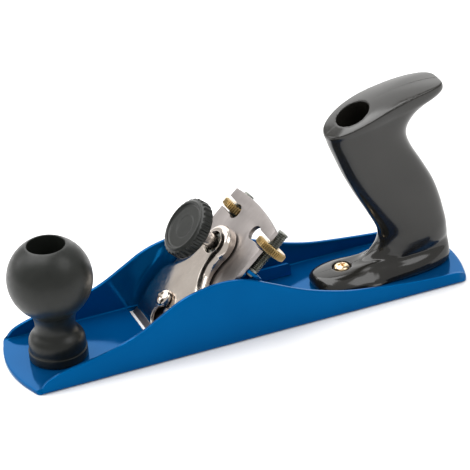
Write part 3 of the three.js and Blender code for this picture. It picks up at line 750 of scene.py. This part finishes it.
def front_knob():
    low, high = (Vector(corner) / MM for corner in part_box("front_knob"))
    foot, recess = KNOB_FOOT, KNOB_RECESS
    middle = (KNOB_WAIST, 20.5)
    waist = bezier([(foot - 0.6, 7.4), (14.9, 17.2), (KNOB_WAIST, 14.2), middle], 22)
    neck = bezier([middle, (KNOB_WAIST, 25), (KNOB_NECK, 28.75)], 10)[1:]
    start = math.degrees(math.asin(KNOB_NECK / KNOB_BALL)) - 90
    finish = 90 - math.degrees(math.asin((recess + 0.9) / KNOB_BALL))
    globe = arc((0, KNOB_CENTRE), KNOB_BALL, start, finish, 44)[1:]
    rim = globe[-1][1]
    profile = [(KNOB_BORE, low.z), (foot - 0.5, low.z)]
    profile += arc((foot - 0.5, low.z + 0.5), 0.5, -90, 0, 5)[1:]
    profile += arc((foot - 0.3, 6.7), 0.3, 0, 70, 4)
    profile += [(foot - 0.45, 7.05), *waist, *neck, *globe]
    profile += [(recess + 0.35, rim + 0.1), (recess + 0.08, rim - 0.15), (recess, rim - 0.6)]
    profile += [(recess - 0.5, KNOB_SEAT + 0.6), (recess - 1.1, KNOB_SEAT), (KNOB_BORE, KNOB_SEAT)]
    knob = turned("knob_ball", profile, standing((low.x + high.x) / 2), 112, wrap=True)
    settle(knob, finish_of("front_knob"), "front_knob")


# ---- rear handle: a loft, cut for its bolt and screw, with a moulding line round its middle ----
# Each ring has its front x and z, its rear x and z, its half width, how full its front and rear corners
# are, how much it widens towards the heel, and how much its middle is lifted.
HANDLE_RINGS = [
    (42.2, 2.6, 114.3, 2.6, 15.2, 3.2, 2.6, -0.04, 0),
    (41.7, 4.6, 114.7, 6, 15.4, 3.2, 2.6, -0.04, 0),
    (42.2, 7.1, 114.6, 9.6, 13.6, 3.0, 2.6, 0.02, 0),
    (44, 8.9, 114.4, 12.4, 11.4, 2.7, 2.6, 0.08, -0.6),
    (53, 10.1, 114.2, 15, 10.2, 2.2, 2.6, 0.12, -0.9),
    (66, 10.6, 114, 17.8, 10.6, 2.0, 2.6, 0.13, -0.4),
    (73.2, 14.2, 113.7, 21, 11.0, 2.1, 2.6, 0.12, 0),
    (77.5, 18.8, 113.2, 25, 11.4, 2.2, 2.7, 0.08, 0),
    (78, 25.4, 112.4, 29.6, 11.4, 2.2, 2.7, 0.07, 0),
    (72.8, 36.6, 110.4, 39, 11.4, 2.2, 2.8, 0.06, 0),
    (67, 47.8, 107.2, 49, 11.4, 2.2, 2.8, 0.06, 0),
    (61.8, 59.2, 101.8, 60, 11.4, 2.2, 2.8, 0.06, 0),
    (58.1, 69, 96.6, 70, 11.6, 2.2, 2.8, 0.05, 0),
    (55.8, 75.4, 94.6, 77.2, 11.9, 2.2, 2.8, 0.03, 0.2),
    (54.8, 78.6, 96, 82.8, 12.3, 2.2, 2.8, 0, 0.8),
    (54.3, 80.4, 100.6, 88, 12.7, 2.2, 2.9, -0.06, 1.6),
    (54, 81.4, 106.6, 91.6, 13, 2.2, 3.2, -0.13, 2.4),
    (53.7, 82.2, 112, 94, 13.4, 2.2, 3.6, -0.18, 3),
    (53.6, 82.8, 114.8, 96.6, 13.8, 2.2, 4, -0.22, 3.8),
    (53.7, 83.6, 114.4, 99.6, 14.1, 2.2, 4.2, -0.24, 4.2),
]
RING_STEPS = 120
RING_SPLIT = 5
TOP_LIP = 0.35
TOP_CROWN = 1.7
HANDLE_VOXEL = 0.45
HANDLE_LEAN = math.radians(20)
HANDLE_HOLE_X = 68.7
HANDLE_HOLE_Z = 91.1
HANDLE_HOLE_RADIUS = 8.8
HANDLE_HOLE_DEPTH = 34
HANDLE_BORE = 3.6
HANDLE_BORE_DEPTH = 88
BOLT_POCKET_X = 99.8
BOLT_POCKET_RADIUS = 4.6
BOLT_POCKET_TOP = 13
FOOT_SCREW_SEAT = 8.3
FOOT_SCREW_RECESS = 4.8
SEAM_HALF = 0.16
SEAM_DEPTH = 0.34


FOOT_PINCH = ((3, 0.05), (9, 0.3), (13, 0.3), (19, 0.1), (26, 0))
PINCH_X = 70
PINCH_SPREAD = 9


def pinch_at(height):
    """How much the foot is drawn in beside the grip's front, from (height, share) rows."""
    for (low, start), (high, end) in zip(FOOT_PINCH, FOOT_PINCH[1:]):
        if low <= height <= high:
            return start + (end - start) * (height - low) / (high - low)
    return 0


def handle_ring(ring, scale=1.0, lift=0.0):
    """Points round a ring of the handle, drawn in to a scale and lifted."""
    front_x, front_z, rear_x, rear_z, half, square, stern, taper, bow = ring
    points = []
    for step in range(RING_STEPS):
        angle = 2 * math.pi * step / RING_STEPS
        cos, sin = math.cos(angle), math.sin(angle)
        power = 2 / (square if cos < 0 else stern)
        reach = math.copysign(abs(cos) ** power, cos) * scale
        across = math.copysign(abs(sin) ** power, sin) * scale
        share = (reach + 1) / 2
        x = front_x + (rear_x - front_x) * share + SHIFT_X
        z = front_z + (rear_z - front_z) * share + 4 * bow * share * (1 - share) + lift
        beside = math.exp(-((x - SHIFT_X - PINCH_X) / PINCH_SPREAD) ** 2)
        points.append((x, half * across * (1 + taper * reach) * (1 - pinch_at(z) * beside), z))
    return points


def seam(piece):
    """A fine moulding groove where the handle meets its middle plane."""
    mesh = bmesh.new()
    mesh.from_mesh(piece.data)
    for y in (-SEAM_HALF, 0, SEAM_HALF):
        parts = mesh.verts[:] + mesh.edges[:] + mesh.faces[:]
        bmesh.ops.bisect_plane(mesh, geom=parts, dist=1e-7, plane_co=(0, y * MM, 0), plane_no=(0, 1, 0))
    mesh.normal_update()
    middle = [vert for vert in mesh.verts if abs(vert.co.y) < 1e-6]
    moves = [(vert, vert.normal.copy()) for vert in middle]
    for vert, normal in moves:
        vert.co -= normal * SEAM_DEPTH * MM
    smoothed(mesh)
    mesh.to_mesh(piece.data)
    mesh.free()
    return piece


def rear_handle():
    count = (len(HANDLE_RINGS) - 1) * RING_SPLIT
    rings = [handle_ring(spline(HANDLE_RINGS, step / RING_SPLIT)) for step in range(count + 1)]
    for scale in (0.985, 0.95, 0.88, 0.8, 0.7, 0.6, 0.5, 0.4, 0.3, 0.2, 0.1):
        rings.append(handle_ring(HANDLE_RINGS[-1], scale, TOP_LIP + TOP_CROWN * (1 - scale * scale)))
    blank = skin("handle_moulding", rings)
    leaning = standing(HANDLE_HOLE_X + SHIFT_X, 0, HANDLE_HOLE_Z) @ Matrix.Rotation(-HANDLE_LEAN, 4, "Y")
    pocket = standing(BOLT_POCKET_X + SHIFT_X)
    screw = standing(middle_x("handle_foot_screw"))
    tools = [
        turned("tool", [(radius, low), (radius, high)], place, segments)
        for radius, low, high, place, segments in (
            (HANDLE_HOLE_RADIUS, -HANDLE_HOLE_DEPTH, 20, leaning, 96),
            (HANDLE_BORE, -HANDLE_BORE_DEPTH, -30, leaning, 48),
            (BOLT_POCKET_RADIUS, 0, BOLT_POCKET_TOP, pocket, 48),
            (FOOT_SCREW_RECESS, FOOT_SCREW_SEAT, 30, screw, 64),
            (FOOT_SCREW_BORE, 0, 9, screw, 32),
        )
    ]
    handle = remeshed(carved(blank, *tools), HANDLE_VOXEL, 10)
    settle(seam(handle), finish_of("rear_handle"), "rear_handle")


# ---- threads, knurls and ribs ----
def wave(phase):
    """A triangle wave from 0 to 1 and back, once for each whole phase."""
    return abs(2 * (phase % 1) - 1)


def eased(value, start, end):
    share = min(max((value - start) / (end - start), 0), 1)
    return share * share * (3 - 2 * share)


def thread(pitch, depth, low, high):
    """A reach that cuts a right-hand thread between two heights."""
    def reach(radius, height, angle):
        held = eased(height, low, low + pitch) * (1 - eased(height, high - pitch, high))
        return radius - depth * held * wave(height / pitch - angle / (2 * math.pi))
    return reach


def steps_between(low, high, step):
    count = max(1, round((high - low) / step))
    return [low + (high - low) * index / count for index in range(count + 1)]


def stud(side):
    node = f"adjuster_stud_{side}"
    joint = JOINT_OF[f"nut_{side}_spin"]
    place = along(joint["pos_m"], joint["axis"])
    low, high = extent(node, place)
    radius, pitch = 2.9, 1.0
    heights = steps_between(low, high - 0.5, pitch / 10)
    profile = [(radius, height) for height in heights] + [(radius - 0.5, high)]
    made = turned(f"stud_{side}", profile, place, 48, thread(pitch, 0.55, low + 3, high - 0.2))
    settle(made, finish_of(node), node)


def adjuster_nut(side):
    node = f"adjuster_nut_{side}"
    joint = JOINT_OF[f"nut_{side}_spin"]
    place = along(joint["pos_m"], joint["axis"])
    low, high = extent(node, place)
    outer, bore, teeth = 8.2, 3.2, 44
    rise = [(bore, low + 0.4), (bore + 0.4, low), (outer - 1.1, low)]
    rise += [(outer - 0.6, low + 0.3), (outer, low + 0.7)]
    fall = [(radius, low + high - height) for radius, height in reversed(rise)]

    def knurled(radius, height, angle):
        lobe = eased(wave(teeth * angle / (2 * math.pi)), 0.3, 0.8)
        return radius - 0.8 * eased(radius, outer - 0.9, outer - 0.1) * lobe

    made = turned(f"nut_{side}", rise + fall, place, teeth * 8, knurled, wrap=True)
    settle(made, finish_of(node), node)


THUMB_SPIN = JOINT_OF["thumb_knob_spin"]
THUMB = along(THUMB_SPIN["pos_m"], THUMB_SPIN["axis"])
THUMB_NECK = -1.7


def thumb_screw():
    low, high = extent("thumb_screw_shank", THUMB)
    back, _ = extent("thumb_knob", THUMB)
    neck = THUMB_NECK
    top = back - 0.3
    radius, collar, pitch = 3.0, 4.0, 1.0
    heights = steps_between(low + 0.6, neck, pitch / 7)
    profile = [(radius - 0.6, low), *((radius, height) for height in heights)]
    profile += [(collar - 0.5, neck + 0.02), (collar - 0.15, neck + 0.2), (collar, neck + 0.55)]
    profile += [(collar, top - 0.4), (collar - 0.2, top - 0.1), (collar - 0.5, top)]
    profile += [(radius, top), (radius, high - 0.4), (radius - 0.4, high)]
    cut = thread(pitch, 0.5, low, neck - 0.3)

    def reach(length, height, angle):
        return cut(length, height, angle) if height < neck else length

    shank = turned("thumb_shank", profile, THUMB, 48, reach)
    settle(shank, turned_plate(), "thumb_screw_shank")


def thumb_knob():
    low, high = extent("thumb_knob", THUMB)
    outer, ribs, groove = 15.0, 30, 0.75
    face = high - 0.9
    profile = [(3.3, low + 3.7), (3.3, low + 0.3), (3.6, low), (outer - 2.2, low)]
    profile += arc((outer - 1.6, low + 1.6), 1.6, -90, 0, 6)[1:]
    profile += [(outer, low + 3), (outer, high - 2.4)]
    profile += arc((outer - 1.2, high - 2.2), 1.2, 0, 75, 5)[1:]
    profile += [(outer - 1.6, high - 0.75)]
    profile += arc((outer - 2.6, high - 0.8), 0.8, 20, 160, 8)
    face_rows = (
        (11.5, -0.05), (11.2, 0.02), (10.9, 0.3), (10.5, 0.42), (9, 0.42), (6.6, 0.44),
        (6.2, 0.5), (5.8, 0.7), (5.2, 0.78), (3, 0.8), (1.5, 0.8), (0.4, 0.8),
    )
    profile += [(radius, face - depth) for radius, depth in face_rows]

    def ribbed(radius, height, angle):
        lobe = eased(wave(ribs * angle / (2 * math.pi)), 0.3, 0.62)
        return radius - groove * lobe * eased(radius, outer - 1.0, outer - 0.15)

    made = turned("thumb_disc", profile, THUMB, ribs * 12, ribbed)
    settle(made, finish_of("thumb_knob"), "thumb_knob")


def knob_bolt():
    """The knob's flush bolt, threaded at its top."""
    low, high = (Vector(corner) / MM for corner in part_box("knob_bolt"))
    head, shank, pitch = 5.4, 2.9, 0.8
    start = high.z - 14
    heights = steps_between(start, high.z - 0.5, pitch / 7)
    profile = [(head - 0.15, low.z), (head, low.z + 0.12), (shank, low.z + head - shank)]
    profile += [(shank, start - 0.2), *((shank, height) for height in heights), (shank - 0.5, high.z)]
    cut = thread(pitch, 0.42, start, high.z - 0.2)

    def reach(radius, height, angle):
        return cut(radius, height, angle) if height > start else radius

    made = turned("knob_rod", profile, standing((low.x + high.x) / 2), 36, reach)
    settle(made, finish_of("knob_bolt"), "knob_bolt")


def rivets():
    for index in range(1, 5):
        node = f"frog_rivet_{index}"
        low, high = (Vector(corner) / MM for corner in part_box(node))
        head, shank, crown, rise = 3.2, 1.7, 3.0, 1.7
        dome = high.z - rise
        profile = [(head - 0.1, low.z), (head, low.z + 0.1), (shank, low.z + head - shank)]
        profile += [(shank, dome), (crown, dome)]
        for turn in (0.15, 0.4, 0.7, 1.0, 1.3, 1.5):
            profile.append((crown * math.cos(turn), dome + rise * math.sin(turn)))
        place = standing((low.x + high.x) / 2, (low.y + high.y) / 2)
        made = turned(f"rivet_{index}", profile, place, 48)
        settle(made, finish_of(node), node)


# ---- lever cap: the CAD pressing with its edge rolled over ----
# The cap's edge is rolled over within CAP_ROLL of it, and within EYE_ROLL beside the eye. The roll keeps
# ROLL_SHARE of a full round's drop and takes no more than ROLL_LIMIT of the cap's height there.
CAP_ROLL = 4.2
EYE_ROLL = 4.4
EYE_START = 42
EYE_END = 52
ROLL_SHARE = 0.8
ROLL_LIMIT = 0.75
EYE_TOP = 7.2
EYE_RADIUS = 7
CAP_FOOT = 0.9
CAP_VOXEL = 0.34
KEYHOLE_HALF = 6
KEYHOLE_END = 27


def cap_frame():
    """The lever cap's frame: x up the bed, y across it, z off the cutter's upper face."""
    across = Vector((0, 1, 0))
    low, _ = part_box("cutter")
    turn = Matrix((UP_BED, across, UP_BED.cross(across))).transposed().to_4x4()
    return Matrix.Translation(Vector((low.x, 0, low.z))) @ turn


def outer_edge(mesh, inverse):
    """Points along the cap's outer top edge, where its face meets its side walls, without its keyhole."""
    turn = inverse.to_3x3()
    points = []
    for edge in mesh.edges:
        if len(edge.link_faces) != 2:
            continue
        outward = [(turn @ face.normal).z for face in edge.link_faces]
        ends = [inverse @ vert.co / MM for vert in edge.verts]
        middle = (ends[0] + ends[1]) / 2
        in_keyhole = abs(middle.y) < KEYHOLE_HALF and middle.x < KEYHOLE_END
        # An edge that is centred on the middle plane is left out.
        corner = min(abs(z) for z in outward) < 0.3 and max(outward) > 0.6
        if corner and middle.z > 2 and not in_keyhole and middle.y != 0:
            points += [ends[0].lerp(ends[1], step / 8) for step in range(9)]
    return points


def rolled(piece, place, eye):
    """Rolls the cap's outer edge over, as a pressing's edge is, by lowering what lies near it."""
    inverse = place.inverted()
    source = welded("lever_cap")
    source.normal_update()
    points = [point for point in outer_edge(source, inverse) if (point.xy - eye.xy).length > EYE_RADIUS]
    source.free()
    tree = kdtree.KDTree(len(points))
    for index, point in enumerate(points):
        tree.insert((point.x, point.y, 0), index)
    tree.balance()
    for vert in piece.data.vertices:
        local = inverse @ vert.co / MM
        _, index, gap = tree.find((local.x, local.y, 0))
        roll = CAP_ROLL + (EYE_ROLL - CAP_ROLL) * eased(local.x, EYE_START, EYE_END)
        if gap >= roll:
            continue
        height = points[index].z - CAP_FOOT
        drop = (roll - math.sqrt(roll ** 2 - (roll - gap) ** 2)) * ROLL_SHARE
        share = min(max((local.z - CAP_FOOT) / height, 0), 1)
        local.z -= min(drop, ROLL_LIMIT * height) * share
        vert.co = place @ (local * MM)
    return piece


def lever_cap():
    cap = remeshed(copy_of("lever_cap", "cap_pressing"), CAP_VOXEL, 4)
    place = cap_frame()
    inverse = place.inverted()
    eye = inverse @ Vector(THUMB_SPIN["pos_m"]) / MM
    axis = inverse.to_3x3() @ Vector(THUMB_SPIN["axis"])
    rolled(cap, place, eye + axis * (EYE_TOP - eye.z) / axis.z)
    settle(reshaded(evened(cap, 8)), finish_of("lever_cap"), "lever_cap")


# ---- screws with a cross recess ----
def rounded_blade(reach, top, place):
    """One arm of a driver's cross, tapering downwards."""
    rings = []
    for height, length, half in ((-1.7, 0.35, 0.35), (-0.7, 0.85, 0.5), (1, 1.25, 0.75)):
        x, z = reach * length, top + height
        rings.append([(-x, -half, z), (x, -half, z), (x, half, z), (-x, half, z)])
    return skin("tool", rings, place)


def cross_screw(node, name, place, head, shank, seat, crown, reach):
    """A round-headed screw with a cross recess. Its head is upright for a share, crown, of its height."""
    low, high = extent(node, place)
    rise = high - seat
    profile = [(shank, low), (shank, seat - 0.02), (head - 0.25, seat), (head, seat + 0.25)]
    profile.append((head, seat + crown * rise))
    for step in range(1, 13):
        turn = math.pi / 2 * step / 13
        profile.append((head * math.cos(turn), seat + rise * (crown + (1 - crown) * math.sin(turn))))
    screw = turned(name, profile, place, 72)
    for turn in (0, math.pi / 2):
        carved(screw, rounded_blade(reach, high, place @ Matrix.Rotation(turn, 4, "Z")))
    settle(reshaded(screw), finish_of(node), node)


def cap_screw():
    cap = cap_frame()
    vertices = frame["nodes"]["lever_cap_screw"].data.vertices
    middle = sum((cap.inverted() @ vert.co for vert in vertices), Vector()) / len(vertices)
    place = cap @ Matrix.Translation((middle.x, 0, 0))
    cross_screw(
        "lever_cap_screw", "cap_screw", place,
        head=4.6, shank=2.4, seat=6.6, crown=0.38, reach=2.3,
    )


def foot_screw():
    place = standing(middle_x("handle_foot_screw"))
    cross_screw(
        "handle_foot_screw", "foot_screw", place,
        head=3.9, shank=1.9, seat=8.6, crown=0.3, reach=2.1,
    )


# ---- folded, flat and hidden pieces: the CAD shapes with rounded edges ----
EDGE_WIDTHS = {
    "frog": 0.4,
    "cutter": 0.12,
    "knob_washer": 0.2,
    "knob_nut": 0.3,
    "handle_bolt": 0.2,
    "handle_washer": 0.2,
    "handle_nut": 0.3,
    "lever_cap_screw_nut": 0.3,
    "thumb_screw_nut": 0.3,
}


def flat_pieces():
    for node, width in EDGE_WIDTHS.items():
        # The nut in the cap's eye gets dark_zinc instead of its own slot's zinc: painted shade, so the gap round
        # the thumb screw's shank reads dark, as the shadow there.
        material = MATERIALS["dark_zinc"] if node == "thumb_screw_nut" else finish_of(node)
        settle(softened(node, f"{node}_finished", width), material, node)


# ---- the whole plane ----
plane_body()
front_knob()
rear_handle()
for hand in ("left", "right"):
    stud(hand)
    adjuster_nut(hand)
thumb_screw()
thumb_knob()
knob_bolt()
rivets()
lever_cap()
cap_screw()
foot_screw()
flat_pieces()
